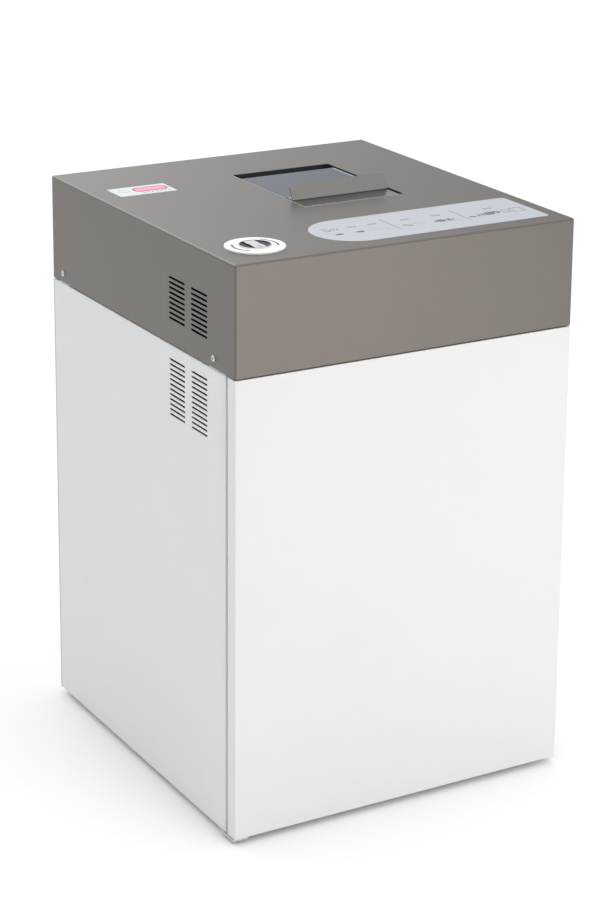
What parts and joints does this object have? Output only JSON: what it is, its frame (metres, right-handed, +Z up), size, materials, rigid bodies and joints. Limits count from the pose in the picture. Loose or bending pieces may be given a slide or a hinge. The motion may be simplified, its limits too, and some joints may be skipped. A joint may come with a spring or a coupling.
{
  "type": "paper shredder",
  "caption": "Free-standing cabinet shredder for small media and paper: brushed hood with a lidded feed well, rotary switch, side vents, full-width hinged door and a waste bin inside.",
  "frame": {"origin": "middle of the underside of the overall box, on the plane of the rubber feet", "axes": "+Z up, door towards -Y, +X to the right for someone facing the door"},
  "size_m": [0.4882, 0.52, 0.7691],
  "materials": {
    "white_enamel": "smooth semi-gloss powder coat",
    "hood_steel": "fine brushed, warm grey",
    "stainless": "brushed stainless",
    "smoked_plate": "smoked blue-grey acrylic",
    "zinc_plate": "zinc plated",
    "foot_rubber": "matt",
    "black_plastic": "fine grain",
    "white_plastic": "satin",
    "rosette_white": "gloss",
    "grip_grey": "satin",
    "bin_plastic": "fine grain",
    "strip_print": "printed film",
    "label_print": "printed silver film",
    "tool_steel": "ground, oiled",
    "shaft_steel": "turned",
    "gear_steel": "hobbed, oiled",
    "black_enamel": "satin black enamel",
    "frame_paint": "matt grey enamel",
    "comb_blue": "blued steel",
    "board_green": "solder mask"
  },
  "bodies": {
    "cabinet": {"base_pan": "zinc_plate", "left_side_panel": "white_enamel", "right_side_panel": "white_enamel", "rear_panel": "white_enamel", "front_rail": "zinc_plate", "drive_deck": "zinc_plate", "rubber_feet": "foot_rubber", "hood": "hood_steel", "hood_brackets": "zinc_plate", "cover_screws": "zinc_plate", "hinge_brackets": "zinc_plate", "hinge_pins": "zinc_plate", "catch_magnet": "black_plastic", "reed_switch": "white_plastic", "lid_hinge_pin": "stainless", "instruction_strip": "strip_print", "rating_label": "label_print", "switch_rosette": "rosette_white", "rotary_switch_body": "black_plastic", "feed_chute": "black_enamel", "front_stripper_comb": "comb_blue", "rear_stripper_comb": "comb_blue", "left_end_plate": "frame_paint", "gear_plate": "frame_paint", "outer_gear_plate": "frame_paint", "tie_rods": "zinc_plate", "shaft_bearings": "shaft_steel", "discharge_chute": "zinc_plate", "motor_stator": "frame_paint", "motor_flange": "frame_paint", "fan_cover": "black_plastic", "control_board": "board_green", "run_capacitor": "zinc_plate", "mains_inlet": "black_plastic"},
    "door": {"door_panel": "white_enamel", "door_liner": "white_enamel", "door_bushes": "white_plastic", "catch_keeper": "zinc_plate", "door_magnet": "white_plastic", "door_pull": "black_plastic"},
    "bin": {"waste_bin": "bin_plastic"},
    "lid": {"lid_plate": "smoked_plate", "lid_front_plate": "stainless", "lid_handle": "stainless", "lid_hinge_ears": "stainless", "lid_rivets": "stainless"},
    "switch_knob": {"switch_cup": "black_plastic", "switch_grip": "grip_grey"},
    "front_cutter": {"front_cutter_shaft": "shaft_steel", "front_cutters": "tool_steel", "front_sync_gear": "gear_steel", "output_wheel": "gear_steel"},
    "rear_cutter": {"rear_cutter_shaft": "shaft_steel", "rear_cutters": "tool_steel", "rear_sync_gear": "gear_steel"},
    "intermediate": {"pinion_shaft": "shaft_steel", "intermediate_wheel": "gear_steel"},
    "rotor": {"motor_rotor": "shaft_steel", "motor_fan": "black_plastic"},
    "rocker": {"mains_rocker": "black_plastic"}
  },
  "joints": [
    {"name": "door_hinge", "type": "hinge", "parent": "cabinet", "child": "door", "pos_m": [-0.2325, -0.25, 0.3], "axis": [0, 0, -1], "range_deg": [0, 110]},
    {"name": "bin_slide", "type": "slide", "parent": "cabinet", "child": "bin", "axis": [0, -1, 0], "range_m": [0, 0.135]},
    {"name": "lid_hinge", "type": "hinge", "parent": "cabinet", "child": "lid", "pos_m": [0.0455, 0.133, 0.741], "axis": [-1, 0, 0], "range_deg": [0, 100]},
    {"name": "switch_turn", "type": "hinge", "parent": "cabinet", "child": "switch_knob", "pos_m": [-0.1805, -0.195, 0.75], "axis": [0, 0, 1], "range_deg": [-45, 45]},
    {"name": "front_cutter_spin", "type": "hinge", "parent": "cabinet", "child": "front_cutter", "pos_m": [0.0455, 0.018, 0.59], "axis": [1, 0, 0], "continuous": true},
    {"name": "rear_cutter_spin", "type": "hinge", "parent": "cabinet", "child": "rear_cutter", "pos_m": [0.0455, 0.078, 0.59], "axis": [1, 0, 0], "continuous": true},
    {"name": "intermediate_spin", "type": "hinge", "parent": "cabinet", "child": "intermediate", "pos_m": [0.15, -0.06542, 0.64782], "axis": [1, 0, 0], "continuous": true},
    {"name": "rotor_spin", "type": "hinge", "parent": "cabinet", "child": "rotor", "pos_m": [0, -0.139, 0.596], "axis": [1, 0, 0], "continuous": true},
    {"name": "mains_rocker_tilt", "type": "hinge", "parent": "cabinet", "child": "rocker", "pos_m": [0.1805, 0.2544, 0.5725], "axis": [1, 0, 0], "range_deg": [0, 12]}
  ],
  "couplings": [
    {"joint": "bin_slide", "follows": "door_hinge", "m_per_rad": 0.07},
    {"joint": "rear_cutter_spin", "follows": "front_cutter_spin", "ratio": -1},
    {"joint": "intermediate_spin", "follows": "front_cutter_spin", "ratio": -3.1429},
    {"joint": "rotor_spin", "follows": "front_cutter_spin", "ratio": 13.02}
  ]
}
